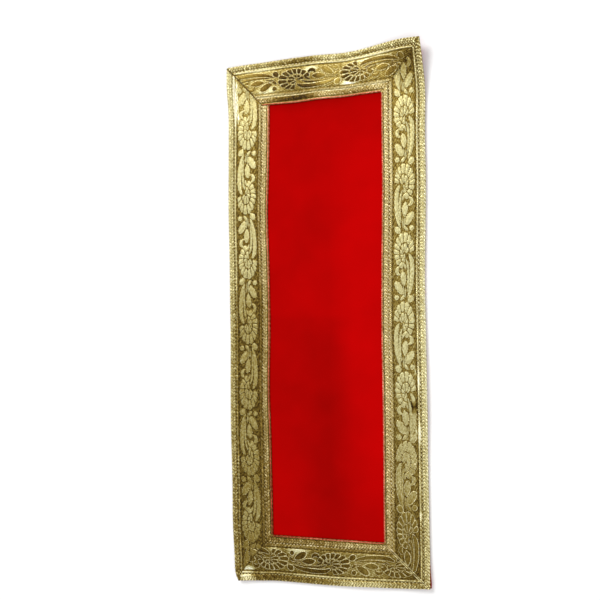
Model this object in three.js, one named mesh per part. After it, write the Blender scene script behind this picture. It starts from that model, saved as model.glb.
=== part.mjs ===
// An altar cloth: a rectangle of red velvet with gold brocade ribbon sewn flat round its edge.
// It lies spread out on a surface, with one corner curled up and its edges a little uneven.
// Millimetres, +Z up. X runs across the cloth, +Y towards its far end, and the surface is z = 0.

import * as THREE from "three";

// Driving dimensions of the cloth, which is 6.5 by 16.5 inches; the gap is between velvet and ribbon
const CLOTH_WIDTH = 167;
const CLOTH_LENGTH = 420;
const RIBBON_WIDTH = 36;
const PANEL_THICKNESS = 1.0;
const SEWN_GAP = 0.35;

// The velvet stops just inside the ribbon's outer edge, and peeps out at the near right corner
const PANEL_INSET = 0.6;
const PEEP = { out: 1.3, reach: 30 };

// Ends of the ribbon strips: half the slit of a mitre, and how far the far strip laps the left one
const MITRE_CLEARANCE = 0.3;
const FAR_LEFT_LAP = 6;

// How unevenly each edge lies: the shift away from the middle of the cloth, at places along the edge.
// Outer is the cloth's own edge and inner is the edge of the ribbon on the velvet.
const LEFT_EDGE = [
  { at: 0, outer: -7.6, inner: -2 },
  { at: 6, outer: -5, inner: -2 },
  { at: 18, outer: -3.8, inner: -2 },
  { at: 32, outer: -2.7, inner: -2 },
  { at: 50, outer: -2.1, inner: -1.9 },
  { at: 79, outer: -2, inner: -1.4 },
  { at: 116, outer: -1.1, inner: -0.8 },
  { at: 153, outer: -0.9, inner: 0.2 },
  { at: 200, outer: -1.3, inner: -0.7 },
  { at: 252, outer: -1.1, inner: -0.3 },
  { at: 295, outer: 0, inner: 0.7 },
  { at: 335, outer: -0.2, inner: -0.7 },
  { at: 375, outer: -0.5, inner: -1.5 },
  { at: 400, outer: 0.5, inner: -1.5 },
  { at: 420, outer: 0, inner: -1.5 },
];
const RIGHT_EDGE = [
  { at: 0, outer: 0.5, inner: 0.2 },
  { at: 30, outer: 0.1, inner: 0.2 },
  { at: 64, outer: -0.2, inner: 0.2 },
  { at: 98, outer: -0.3, inner: 0.4 },
  { at: 140, outer: 0, inner: 0.5 },
  { at: 195, outer: -0.5, inner: 0.2 },
  { at: 234, outer: -0.8, inner: 0.6 },
  { at: 276, outer: 0.3, inner: 1.5 },
  { at: 314, outer: 1.1, inner: 2.3 },
  { at: 348, outer: 1, inner: 2.3 },
  { at: 384, outer: 1.9, inner: 2.3 },
  { at: 400, outer: 1.4, inner: 2.3 },
  { at: 420, outer: 0.6, inner: 2.3 },
];
const NEAR_EDGE = [
  { at: -83.5, outer: 2.1, inner: -0.3 },
  { at: -72, outer: 1.2, inner: -0.3 },
  { at: -60, outer: 0.7, inner: -0.3 },
  { at: -43, outer: -0.3, inner: -0.3 },
  { at: 0, outer: -0.5, inner: -0.3 },
  { at: 18, outer: -1.1, inner: -0.3 },
  { at: 38, outer: -2.1, inner: -0.3 },
  { at: 58, outer: -2.9, inner: -0.5 },
  { at: 83.5, outer: -4.8, inner: -0.6 },
];
const FAR_EDGE = [
  { at: -83.5, outer: -2.7, inner: -0.8 },
  { at: -65, outer: -1.6, inner: -0.8 },
  { at: -45, outer: -1.2, inner: -0.9 },
  { at: -24, outer: -1.1, inner: -1.3 },
  { at: -4, outer: -1.2, inner: -0.7 },
  { at: 17, outer: -1.9, inner: -1.1 },
  { at: 32, outer: -1, inner: -0.6 },
  { at: 48, outer: 0.8, inner: -0.4 },
  { at: 66, outer: 1.6, inner: -0.4 },
  { at: 83.5, outer: 0.1, inner: -0.4 },
];

// The far right corner curls up past a crease that crosses the far and right edges this far from it
const CURL = { rise: 10.5, alongFar: 56, alongRight: 50, steepness: 1.6 };

// Low swells where the cloth doesn't lie quite flat: middle, half sizes and height
const SWELLS = [
  { x: -83.5, y: 420, reachX: 34, reachY: 38, rise: 2.0 },
  { x: -83.5, y: 236, reachX: 24, reachY: 58, rise: 0.9 },
  { x: 83.5, y: 148, reachX: 24, reachY: 66, rise: 1.1 },
  { x: -18, y: 420, reachX: 38, reachY: 24, rise: 1.1 },
  { x: 34, y: 0, reachX: 36, reachY: 22, rise: 0.9 },
  { x: -83.5, y: 0, reachX: 26, reachY: 28, rise: 1.4 },
  { x: 83.5, y: 0, reachX: 30, reachY: 34, rise: 1.9 },
];

// The ribbon's cross-section from its outer edge: two twill bands, two cords and the flowers' field
const RIBS = [
  { across: 0, thick: 1.0 },
  { across: 0.8, thick: 1.3 },
  { across: 4.6, thick: 1.3 },
  { across: 5.5, thick: 1.0 },
  { across: 6.7, thick: 1.4 },
  { across: 8.0, thick: 1.0 },
  { across: 10.4, thick: 1.1 },
  { across: 13.7, thick: 1.1 },
  { across: 17.0, thick: 1.1 },
  { across: 20.3, thick: 1.1 },
  { across: 23.6, thick: 1.1 },
  { across: 26.2, thick: 1.0 },
  { across: 28, thick: 1.4 },
  { across: 30, thick: 1.0 },
  { across: 31, thick: 1.3 },
  { across: 35.2, thick: 1.3 },
  { across: 36, thick: 1.0 },
];

// One flower of the ribbon, from the knot of its stems: the swellings of its head, long leaf and bud
const FLOWER_REPEAT = 53.2;
const FIELD_MIDDLE = 17;
const FLOWER = [
  { part: "head", along: 39, across: 17, halfLong: 14.5, halfWide: 9, rise: 0.5 },
  { part: "long leaf", along: 18, across: 11.5, halfLong: 13, halfWide: 4, rise: 0.35 },
  { part: "bud", along: 12, across: 21, halfLong: 6, halfWide: 4, rise: 0.35 },
];

// The four strips, each running anticlockwise from its own corner; facing is the way to the velvet.
// Each strip starts its row of flowers at its own place, with the long leaf outside or inside.
const STRIPS = [
  {
    name: "ribbon_left",
    corner: [-CLOTH_WIDTH / 2, CLOTH_LENGTH],
    running: [0, -1],
    facing: [1, 0],
    length: CLOTH_LENGTH,
    firstKnot: 19,
    leafOutside: false,
    startLap: FAR_LEFT_LAP,
    endLap: 0,
  },
  {
    name: "ribbon_bottom",
    corner: [-CLOTH_WIDTH / 2, 0],
    running: [1, 0],
    facing: [0, 1],
    length: CLOTH_WIDTH,
    firstKnot: -2.7,
    leafOutside: false,
    startLap: 0,
    endLap: 0,
  },
  {
    name: "ribbon_right",
    corner: [CLOTH_WIDTH / 2, 0],
    running: [0, 1],
    facing: [-1, 0],
    length: CLOTH_LENGTH,
    firstKnot: 7.8,
    leafOutside: true,
    startLap: 0,
    endLap: 0,
  },
  {
    name: "ribbon_top",
    corner: [CLOTH_WIDTH / 2, CLOTH_LENGTH],
    running: [-1, 0],
    facing: [0, -1],
    length: CLOTH_WIDTH,
    firstKnot: 17,
    leafOutside: true,
    startLap: 0,
    endLap: -FAR_LEFT_LAP,
  },
];

// Mesh steps: the grid under the ribbons is fine enough to follow the curled corner
const RIBBON_STEPS_ACROSS = 6;
const RIBBON_STEP_ALONG = 5.25;
const MITRE_ZONE = 42;
const PANEL_STEPS_WIDE = 9;
const PANEL_STEPS_LONG = 38;

const VELVET_RED = 0xb60508;
const BROCADE_GOLD = 0xc6b36c;

// A smooth curve through a table's rows: the value of one column at a place along the edge
function follow(rows, column, place) {
  const last = rows.length - 1;
  const at = THREE.MathUtils.clamp(place, rows[0].at, rows[last].at);
  let row = 0;
  while (row < last - 1 && at > rows[row + 1].at) row += 1;
  const slope = (k) => {
    const before = rows[Math.max(k - 1, 0)];
    const after = rows[Math.min(k + 1, last)];
    return (after[column] - before[column]) / (after.at - before.at);
  };
  const span = rows[row + 1].at - rows[row].at;
  const t = (at - rows[row].at) / span;
  const ease = t * t * (3 - 2 * t);
  const held = rows[row][column] * (1 - ease) + rows[row + 1][column] * ease;
  return held + span * t * (1 - t) * (slope(row) * (1 - t) - slope(row + 1) * t);
}

// The shift at a place between the two edges of the cloth, from the ribbon edges on each side
function shiftBetween(from, size, lowSide, highSide, along) {
  const low = { outer: -follow(lowSide, "outer", along), inner: -follow(lowSide, "inner", along) };
  const high = { outer: follow(highSide, "outer", along), inner: follow(highSide, "inner", along) };
  const mix = THREE.MathUtils.lerp;
  const share = (a, b) => THREE.MathUtils.clamp((from - a) / (b - a), 0, 1);
  if (from < RIBBON_WIDTH) return mix(low.outer, low.inner, share(0, RIBBON_WIDTH));
  if (from > size - RIBBON_WIDTH) return mix(high.inner, high.outer, share(size - RIBBON_WIDTH, size));
  return mix(low.inner, high.inner, share(RIBBON_WIDTH, size - RIBBON_WIDTH));
}

// How high the cloth's underside lies above the surface
function riseAt(x, y) {
  const farShare = (CLOTH_WIDTH / 2 - x) / CURL.alongFar;
  const rightShare = (CLOTH_LENGTH - y) / CURL.alongRight;
  const curled = THREE.MathUtils.clamp(1 - farShare - rightShare, 0, 1);
  let rise = CURL.rise * curled ** CURL.steepness;
  for (const swell of SWELLS) {
    const off = Math.hypot((x - swell.x) / swell.reachX, (y - swell.y) / swell.reachY);
    if (off < 1) rise += swell.rise * Math.cos((off * Math.PI) / 2) ** 2;
  }
  return rise;
}

// A point of the flat cloth, and a height above its underside, as they lie
function lay(x, y, height) {
  const shiftX = shiftBetween(x + CLOTH_WIDTH / 2, CLOTH_WIDTH, LEFT_EDGE, RIGHT_EDGE, y);
  const shiftY = shiftBetween(y, CLOTH_LENGTH, NEAR_EDGE, FAR_EDGE, x);
  return [x + shiftX, y + shiftY, riseAt(x, y) + height];
}

// Places in equal steps from one value to another, the first left out
function steps(from, to, count) {
  return Array.from({ length: count }, (_, k) => from + ((to - from) * (k + 1)) / count);
}

// The triangles that close a ring, from its left end to its right one: its top points run from left to
// right and are followed by its underside points from right to left
function capFaces(places, topCount) {
  const faces = [];
  let top = 0;
  let under = places.length - 1;
  while (top < topCount - 1 || under > topCount) {
    const underDone = under === topCount;
    const topIsNext = top < topCount - 1 && (underDone || places[top + 1] <= places[under - 1]);
    if (topIsNext) {
      faces.push([top, under, top + 1]);
      top += 1;
    } else {
      faces.push([top, under, under - 1]);
      under -= 1;
    }
  }
  return faces;
}

// A closed mesh through rings of points, each clockwise as seen from the first one, with the place of
// each point from left to right and the number of points on top
function loft(rings, places, topCount) {
  const count = places.length;
  const faces = [];
  for (let ring = 0; ring + 1 < rings.length; ring += 1) {
    const near = ring * count;
    const far = near + count;
    for (let k = 0; k < count; k += 1) {
      const next = (k + 1) % count;
      faces.push(near + k, near + next, far + k);
      faces.push(near + next, far + next, far + k);
    }
  }
  const lastRing = (rings.length - 1) * count;
  for (const [a, b, c] of capFaces(places, topCount)) {
    faces.push(a, b, c);
    faces.push(lastRing + a, lastRing + c, lastRing + b);
  }
  const geometry = new THREE.BufferGeometry();
  geometry.setAttribute("position", new THREE.Float32BufferAttribute(rings.flat(2), 3));
  geometry.setIndex(faces);
  geometry.computeVertexNormals();
  return geometry;
}

// The velvet panel, lofted from its near end to its far end
function panelGeometry() {
  const ribbonSteps = steps(0, RIBBON_WIDTH, RIBBON_STEPS_ACROSS);
  const linesOver = (size, middleSteps) => [
    PANEL_INSET,
    ...ribbonSteps,
    ...steps(RIBBON_WIDTH, size - RIBBON_WIDTH, middleSteps),
    ...steps(size - RIBBON_WIDTH, size, RIBBON_STEPS_ACROSS).slice(0, -1),
    size - PANEL_INSET,
  ];
  const across = linesOver(CLOTH_WIDTH, PANEL_STEPS_WIDE);
  const along = linesOver(CLOTH_LENGTH, PANEL_STEPS_LONG);
  const top = across.map((place) => [place, PANEL_THICKNESS]);
  const underside = across.map((place) => [place, 0]).reverse();
  const section = [...top, ...underside];
  const rightmost = across[across.length - 1];
  const rings = along.map((y) => {
    const peep = y < PEEP.reach ? PEEP.out * Math.cos((y / PEEP.reach) * (Math.PI / 2)) ** 2 : 0;
    return section.map(([place, height]) => {
      const out = place === rightmost ? peep : 0;
      return lay(place + out - CLOTH_WIDTH / 2, y, height);
    });
  });
  const places = section.map(([place]) => place);
  return loft(rings, places, top.length);
}

// How much the woven flowers swell the ribbon at a place of a strip
function flowerSwell(strip, along, across) {
  const turn = Math.floor((along - strip.firstKnot) / FLOWER_REPEAT);
  const fromKnot = along - strip.firstKnot - turn * FLOWER_REPEAT;
  const leafOutside = turn % 2 === 0 ? strip.leafOutside : !strip.leafOutside;
  const side = leafOutside ? across : 2 * FIELD_MIDDLE - across;
  let swell = 0;
  for (const piece of FLOWER) {
    const off = Math.hypot(
      (fromKnot - piece.along) / piece.halfLong,
      (side - piece.across) / piece.halfWide,
    );
    swell = Math.max(swell, piece.rise * (1 - off * off));
  }
  return swell;
}

// Where a strip starts at a distance in from its outer edge: along the mitre, which the other strip
// may lap, or which it may lean past itself
function mitreAt(across, lap) {
  if (lap > 0) return Math.min((across * RIBBON_WIDTH) / (RIBBON_WIDTH - lap), RIBBON_WIDTH);
  return (across * (RIBBON_WIDTH + lap)) / RIBBON_WIDTH;
}

// One mitred strip of ribbon, lofted along its length
function stripGeometry(strip) {
  const top = RIBS.map((rib) => [rib.across, rib.thick]).reverse();
  const underside = [0, ...steps(0, RIBBON_WIDTH, RIBBON_STEPS_ACROSS)].map((across) => [across, 0]);
  const section = [...top, ...underside];
  const rows = Math.round(strip.length / RIBBON_STEP_ALONG);
  const stations = [0, ...steps(0, strip.length, rows)];
  const rings = stations.map((station) =>
    section.map(([across, thick]) => {
      const start = mitreAt(across, strip.startLap) + MITRE_CLEARANCE;
      const end = strip.length - mitreAt(across, strip.endLap) - MITRE_CLEARANCE;
      let along = station;
      if (station < MITRE_ZONE) {
        along = start + (station / MITRE_ZONE) * (MITRE_ZONE - start);
      } else if (station > strip.length - MITRE_ZONE) {
        const share = (strip.length - station) / MITRE_ZONE;
        along = end - share * (end - strip.length + MITRE_ZONE);
      }
      const swell = thick > 0 ? flowerSwell(strip, along, across) : 0;
      const x = strip.corner[0] + strip.running[0] * along + strip.facing[0] * across;
      const y = strip.corner[1] + strip.running[1] * along + strip.facing[1] * across;
      return lay(x, y, PANEL_THICKNESS + SEWN_GAP + thick + swell);
    }),
  );
  const places = section.map(([across]) => -across);
  return loft(rings, places, top.length);
}

const velvet = new THREE.MeshStandardMaterial({
  name: "red_velvet",
  color: VELVET_RED,
  roughness: 0.95,
  metalness: 0,
});

const pieces = new THREE.Group();
const panel = new THREE.Mesh(panelGeometry(), velvet);
panel.name = "cloth_panel";
pieces.add(panel);

for (const strip of STRIPS) {
  const brocade = new THREE.MeshStandardMaterial({
    name: "gold_brocade",
    color: BROCADE_GOLD,
    roughness: 0.45,
    metalness: 0.7,
  });
  const ribbon = new THREE.Mesh(stripGeometry(strip), brocade);
  ribbon.name = strip.name;
  pieces.add(ribbon);
}

// The origin is on the surface, under the middle of the cloth's bounding box
const box = new THREE.Box3().setFromObject(pieces);
const middle = box.getCenter(new THREE.Vector3());
pieces.position.set(-middle.x, -middle.y, -box.min.z);

const altarCloth = new THREE.Group();
altarCloth.name = "altar_cloth";
altarCloth.add(pieces);

export default altarCloth;
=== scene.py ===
"""An altar cloth: red velvet with gold brocade ribbon sewn flat round its edge, one corner curled up.

Lengths in the tables are millimetres of the flat cloth, with x across it from its middle and y from
its near edge. lay() turns them into metres of the cloth as it lies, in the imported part's frame.
"""

import math

import bmesh
import bpy
import numpy as np
from mathutils import Matrix, Vector


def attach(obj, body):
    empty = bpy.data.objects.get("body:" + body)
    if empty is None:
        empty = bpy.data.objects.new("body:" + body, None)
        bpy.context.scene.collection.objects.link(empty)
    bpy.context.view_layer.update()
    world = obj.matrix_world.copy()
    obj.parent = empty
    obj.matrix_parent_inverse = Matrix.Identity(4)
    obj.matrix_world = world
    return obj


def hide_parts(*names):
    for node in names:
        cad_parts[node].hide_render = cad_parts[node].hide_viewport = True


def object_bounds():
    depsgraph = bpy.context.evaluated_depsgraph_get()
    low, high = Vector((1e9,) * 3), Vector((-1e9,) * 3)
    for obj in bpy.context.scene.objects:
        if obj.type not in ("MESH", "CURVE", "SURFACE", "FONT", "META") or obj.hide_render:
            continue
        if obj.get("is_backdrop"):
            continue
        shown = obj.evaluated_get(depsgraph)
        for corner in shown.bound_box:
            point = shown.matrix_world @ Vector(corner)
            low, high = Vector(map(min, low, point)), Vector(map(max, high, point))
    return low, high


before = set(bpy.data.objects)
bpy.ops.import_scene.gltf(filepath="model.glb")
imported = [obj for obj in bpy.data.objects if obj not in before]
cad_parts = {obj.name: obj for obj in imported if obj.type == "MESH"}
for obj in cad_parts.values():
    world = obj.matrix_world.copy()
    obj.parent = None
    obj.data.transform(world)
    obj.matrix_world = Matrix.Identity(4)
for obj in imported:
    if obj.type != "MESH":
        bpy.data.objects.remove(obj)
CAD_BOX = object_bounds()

# ---- The cloth's sizes and how it lies, as in the CAD part ----

CLOTH_WIDTH = 167.0
CLOTH_LENGTH = 420.0
RIBBON_WIDTH = 36.0
VELVET_THICKNESS = 1.0
VELVET_INSET = 0.6
PEEP_OUT, PEEP_REACH = 1.3, 30.0
# The middle of the box of the cloth as it lies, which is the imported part's x = y = 0
MIDDLE = (0.7007675, 209.76549)
MM = 0.001

# Unevenness of each edge: place along it, then the outward shift of the cloth's and the ribbon's edge
LEFT_EDGE = (
    (0, -7.6, -2), (6, -5, -2), (18, -3.8, -2), (32, -2.7, -2), (50, -2.1, -1.9), (79, -2, -1.4),
    (116, -1.1, -0.8), (153, -0.9, 0.2), (200, -1.3, -0.7), (252, -1.1, -0.3), (295, 0, 0.7),
    (335, -0.2, -0.7), (375, -0.5, -1.5), (400, 0.5, -1.5), (420, 0, -1.5),
)
RIGHT_EDGE = (
    (0, 0.5, 0.2), (30, 0.1, 0.2), (64, -0.2, 0.2), (98, -0.3, 0.4), (140, 0, 0.5), (195, -0.5, 0.2),
    (234, -0.8, 0.6), (276, 0.3, 1.5), (314, 1.1, 2.3), (348, 1, 2.3), (384, 1.9, 2.3),
    (400, 1.4, 2.3), (420, 0.6, 2.3),
)
NEAR_EDGE = (
    (-83.5, 2.1, -0.3), (-72, 1.2, -0.3), (-60, 0.7, -0.3), (-43, -0.3, -0.3), (0, -0.5, -0.3),
    (18, -1.1, -0.3), (38, -2.1, -0.3), (58, -2.9, -0.5), (83.5, -4.8, -0.6),
)
FAR_EDGE = (
    (-83.5, -2.7, -0.8), (-65, -1.6, -0.8), (-45, -1.2, -0.9), (-24, -1.1, -1.3), (-4, -1.2, -0.7),
    (17, -1.9, -1.1), (32, -1, -0.6), (48, 0.8, -0.4), (66, 1.6, -0.4), (83.5, 0.1, -0.4),
)
CURL_RISE, CURL_ALONG_FAR, CURL_ALONG_RIGHT, CURL_STEEPNESS = 10.5, 56.0, 50.0, 1.6
# Low swells of the cloth: middle, half sizes and height
SWELLS = (
    (-83.5, 420, 34, 38, 2.0), (-83.5, 236, 24, 58, 0.9), (83.5, 148, 24, 66, 1.1),
    (-18, 420, 38, 24, 1.1), (34, 0, 36, 22, 0.9), (-83.5, 0, 26, 28, 1.4), (83.5, 0, 30, 34, 1.9),
)
# Where the velvet was once folded in half: place, half width and depth of the soft trough
FOLD_AT, FOLD_HALF_WIDTH, FOLD_DEPTH = 210.0, 4.0, 0.3


def follow(rows, column, places):
    """A smooth curve through a table's rows: the value of one column at places along the edge."""
    at = np.array([row[0] for row in rows], float)
    value = np.array([row[column] for row in rows], float)
    last = len(at) - 1
    before, after = np.maximum(np.arange(last + 1) - 1, 0), np.minimum(np.arange(last + 1) + 1, last)
    slope = (value[after] - value[before]) / (at[after] - at[before])
    places = np.clip(places, at[0], at[-1])
    row = np.searchsorted(at[1:-1], places, side="left")
    span = at[row + 1] - at[row]
    t = (places - at[row]) / span
    ease = t * t * (3 - 2 * t)
    held = value[row] * (1 - ease) + value[row + 1] * ease
    return held + span * t * (1 - t) * (slope[row] * (1 - t) - slope[row + 1] * t)


def shift_between(start, size, low_edge, high_edge, along):
    """The shift at a place between two edges of the cloth, from the unevenness of both."""
    low_outer, low_inner = -follow(low_edge, 1, along), -follow(low_edge, 2, along)
    high_outer, high_inner = follow(high_edge, 1, along), follow(high_edge, 2, along)
    low_share = np.clip(start / RIBBON_WIDTH, 0, 1)
    high_share = np.clip((start - size + RIBBON_WIDTH) / RIBBON_WIDTH, 0, 1)
    share = np.clip((start - RIBBON_WIDTH) / (size - 2 * RIBBON_WIDTH), 0, 1)
    low = low_outer + (low_inner - low_outer) * low_share
    high = high_inner + (high_outer - high_inner) * high_share
    middle = low_inner + (high_inner - low_inner) * share
    return np.where(start < RIBBON_WIDTH, low, np.where(start > size - RIBBON_WIDTH, high, middle))


def rise_at(x, y):
    """How high the cloth's underside lies above the surface."""
    curled = 1 - (CLOTH_WIDTH / 2 - x) / CURL_ALONG_FAR - (CLOTH_LENGTH - y) / CURL_ALONG_RIGHT
    rise = CURL_RISE * np.clip(curled, 0, 1) ** CURL_STEEPNESS
    for middle_x, middle_y, reach_x, reach_y, height in SWELLS:
        off = np.minimum(np.hypot((x - middle_x) / reach_x, (y - middle_y) / reach_y), 1)
        rise = rise + height * np.cos(off * math.pi / 2) ** 2
    return rise


def lay(x, y, height):
    """Points of the flat cloth, at heights above its underside, as they lie: metres, one row each."""
    x, y, height = np.broadcast_arrays(*(np.asarray(value, float) for value in (x, y, height)))
    shift_x = shift_between(x + CLOTH_WIDTH / 2, CLOTH_WIDTH, LEFT_EDGE, RIGHT_EDGE, y)
    shift_y = shift_between(y, CLOTH_LENGTH, NEAR_EDGE, FAR_EDGE, x)
    placed = (x + shift_x - MIDDLE[0], y + shift_y - MIDDLE[1], rise_at(x, y) + height)
    return np.stack(placed, -1) * MM


# ---- The four strips of ribbon, each running anticlockwise from its own corner ----

# The flowers repeat each 53.2 mm, in which the ribbon has 18 of the dots that line its bands
PATTERN_REPEAT = 53.2
LOOM_PITCH = PATTERN_REPEAT / 18
# The line that the flowers are turned over about, one to the next
FIELD_MIDDLE = 17.0
# Within this of its ends, a strip's crosswise lines lean over to the mitre
MITRE_ZONE = 42.0
FAR_LEFT_LAP = 6.0

# laps are how far a strip stops short of, or laps past, a true mitre at its start and its end, and seams
# how far it stands off the line of each mitre there. The first flower's knot is at first_knot, and
# leaf_outside says on which side its long leaf lies. between is how bright the ribbon is painted between
# the floats of its twill and of its cords, as shares of their own painted light: painted shade between the
# floats. The last table of each strip is the light and shade painted on its metal yarns, fixed to the
# cloth. It holds the painted highlights and dull shade that the light gives them, which follow how the
# ribbon waves: place along, then the flowers, the ground, their outlines, the twill bands and the cords.
FLOWERS, GROUND, OUTLINES, TWILLS, CORDS = 1, 2, 3, 4, 5
STRIPS = {
    "left": dict(
        corner=(-CLOTH_WIDTH / 2, CLOTH_LENGTH), running=(0, -1), facing=(1, 0), length=CLOTH_LENGTH,
        laps=(FAR_LEFT_LAP, 0), seams=(0.22, 0.08), first_knot=19.0, leaf_outside=False,
        between=(0.76, 0.58),
        tone_and_painted_light=(
            (0, 0.70, 0.46, 0.75, 1.0, 1.1), (40, 0.72, 0.40, 0.70, 0.95, 1.0),
            (70, 0.76, 0.28, 0.55, 0.85, 0.86), (175, 0.74, 0.24, 0.50, 0.83, 0.85),
            (198, 0.61, 0.22, 0.42, 0.72, 0.54), (285, 0.59, 0.20, 0.44, 0.66, 0.50),
            (315, 0.56, 0.22, 0.42, 0.58, 0.50), (345, 0.44, 0.22, 0.6, 0.50, 0.52),
            (372, 0.58, 0.22, 0.46, 0.50, 0.50), (392, 0.42, 0.22, 0.7, 0.48, 0.50),
            (420, 0.38, 0.2, 0.85, 0.45, 0.48),
        ),
    ),
    "bottom": dict(
        corner=(-CLOTH_WIDTH / 2, 0), running=(1, 0), facing=(0, 1), length=CLOTH_WIDTH,
        laps=(0, 0), seams=(0.08, 0.05), first_knot=-2.7, leaf_outside=False, between=(0.60, 0.44),
        tone_and_painted_light=(
            (0, 0.50, 0.30, 1.05, 0.58, 0.50), (12, 0.42, 0.30, 1.1, 0.50, 0.50),
            (20, 0.20, 0.28, 1.15, 0.42, 0.50), (48, 0.20, 0.38, 1.2, 0.46, 0.66),
            (62, 0.18, 0.38, 1.2, 0.54, 0.84), (82, 0.14, 0.32, 1.2, 0.54, 0.86),
            (100, 0.18, 0.48, 1.15, 0.82, 0.84), (120, 0.38, 0.58, 1.1, 0.88, 0.82),
            (135, 0.20, 0.44, 1.1, 0.70, 0.78), (150, 0.24, 0.28, 1.1, 0.62, 0.70),
            (167, 0.28, 0.20, 1.05, 0.58, 0.68),
        ),
    ),
    "right": dict(
        corner=(CLOTH_WIDTH / 2, 0), running=(0, 1), facing=(-1, 0), length=CLOTH_LENGTH,
        laps=(0, 0), seams=(0.05, 0.04), first_knot=7.8, leaf_outside=True, between=(0.72, 0.55),
        tone_and_painted_light=(
            (0, 0.26, 0.14, 1.1, 0.68, 0.62), (12, 0.30, 0.18, 1.2, 0.76, 0.66),
            (55, 0.36, 0.24, 1.2, 0.84, 0.70), (75, 0.62, 0.34, 1.15, 0.90, 0.84),
            (130, 0.74, 0.37, 0.95, 0.94, 0.88), (150, 0.81, 0.38, 0.68, 0.97, 0.88),
            (290, 0.80, 0.37, 0.62, 0.93, 0.88), (310, 0.76, 0.36, 0.60, 0.93, 0.88),
            (388, 0.75, 0.36, 0.62, 0.90, 0.88), (405, 0.52, 0.14, 0.7, 0.70, 0.72),
            (420, 0.45, 0.10, 0.7, 0.70, 0.70),
        ),
    ),
    "top": dict(
        corner=(CLOTH_WIDTH / 2, CLOTH_LENGTH), running=(-1, 0), facing=(0, -1), length=CLOTH_WIDTH,
        laps=(0, -FAR_LEFT_LAP), seams=(0.04, 0.22), first_knot=17.0, leaf_outside=True,
        between=(0.58, 0.42),
        tone_and_painted_light=(
            (0, 0.40, 0.22, 0.7, 0.78, 0.85), (14, 0.34, 0.28, 0.9, 0.80, 1.0),
            (26, 0.24, 0.34, 0.95, 0.88, 1.15), (38, 0.36, 0.42, 1.05, 0.96, 1.30),
            (56, 0.14, 0.48, 1.15, 0.94, 1.30), (66, 0.08, 0.50, 1.15, 0.94, 1.30),
            (71, 0.46, 0.44, 1.0, 0.96, 1.30), (85, 0.38, 0.50, 1.0, 0.90, 1.25),
            (93, 0.05, 0.40, 0.95, 0.66, 1.20), (121, 0.05, 0.44, 0.95, 0.66, 1.25),
            (136, 0.22, 0.60, 1.0, 0.85, 1.45), (150, 0.38, 0.50, 0.9, 0.88, 1.35),
            (167, 0.50, 0.46, 0.8, 0.90, 1.1),
        ),
    ),
}

# Painted highlights and painted shade on the parts of a strip: middle along and across, half sizes, and how
# much
PAINTED_GLEAMS = {
    ("left", FLOWERS): ((350, 17, 50, 12, 0.08),),
    ("left", GROUND): ((31, 8.3, 22, 1.0, 0.9), (44, 8.5, 3, 2.5, 0.6), (17, 9, 3, 2, 0.4)),
    ("left", TWILLS): ((0, 0, 2, 2, -1.2), (240, 3, 60, 2.5, -0.06), (170, 32.5, 140, 2.5, -0.08)),
    ("left", CORDS): (
        (30, 6.4, 22, 1.8, 1.0), (150, 28, 120, 1.4, -0.12), (190, 5.0, 130, 1.0, 0.1),
        (240, 6.4, 60, 1.0, -0.08),
    ),
    ("bottom", GROUND): ((58, 25, 10, 3, 0.7), (37, 25, 6, 2.4, 0.5), (13, 9, 6, 2.4, 1.0)),
    ("bottom", TWILLS): (
        (10, 4, 8, 4, 0.9), (72, 34.7, 30, 1.0, 0.25), (60, 2.5, 40, 2.5, -0.2),
        (75, 32.5, 30, 2.5, -0.08), (30, 2.5, 14, 2.5, -0.15), (114, 32.5, 15, 2.5, -0.15),
    ),
    ("bottom", CORDS): (
        (10, 6.4, 7, 2, 0.8), (95, 28, 50, 1.6, -0.32), (72, 29.5, 30, 1.0, 0.55),
        (72, 5.0, 30, 1.0, 0.12),
    ),
    ("right", GROUND): ((40, 17, 26, 12, 0.08), (121, 8.5, 6, 2, 0.5), (166, 8.4, 3, 1.6, 0.5)),
    ("right", TWILLS): (
        (210, 0.4, 190, 0.9, 0.35), (220, 32.5, 120, 2.5, -0.12), (210, 3, 200, 3, -0.03),
        (70, 32.5, 80, 2.5, -0.15),
    ),
    ("right", CORDS): (
        (58, 6.4, 3, 1.6, 0.8), (119, 6.4, 9, 1.6, 0.8), (160, 6.4, 10, 1.4, 0.6),
        (350, 28, 55, 1.6, 0.45), (350, 6.4, 55, 1.2, 0.25), (40, 29.5, 30, 1.0, 0.15),
        (180, 29.5, 200, 1.0, 0.45), (170, 5.0, 160, 1.0, 0.2), (200, 6.4, 220, 1.8, 0.04),
    ),
    ("top", GROUND): (
        (62, 25.5, 7, 3, 0.9), (131, 24, 9, 4, 0.4), (94, 10.5, 6, 3, 0.7), (42, 8.8, 20, 1.6, 0.5),
    ),
    ("top", TWILLS): (
        (108, 32.1, 18, 2.2, -0.9), (95, 34.8, 60, 0.9, 0.3), (135, 32.5, 14, 3, -0.25),
        (60, 32.5, 22, 3, -0.45), (50, 3.2, 20, 1.4, -0.45), (104, 3, 18, 1.8, -0.45),
        (135, 3, 14, 2.5, -0.2), (167, 0, 2, 2, -1.2),
    ),
    ("top", CORDS): (
        (42, 6.4, 26, 1.6, 0.15), (110, 6.4, 20, 1.2, -0.25), (90, 6.4, 75, 1.4, -0.14),
        (95, 5.0, 60, 1.0, 0.2), (90, 29.5, 70, 0.9, 0.45), (80, 28, 60, 1.6, -0.4),
        (108, 28, 16, 1.6, -0.15), (138, 28, 14, 1.6, -0.3),
    ),
}
# A gleam fades out at this many of its half sizes
GLEAM_REACH = 1.3
# One small worn-through spot, where the dark backing shows, and how dark its rim and its middle are
WORN_STRIP, WORN_ALONG, WORN_ACROSS, WORN_HALF_ALONG, WORN_HALF_ACROSS = "right", 141.5, 10.5, 2.0, 3.4
WORN_RIM, WORN_MIDDLE = 0.4, 3.0

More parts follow.
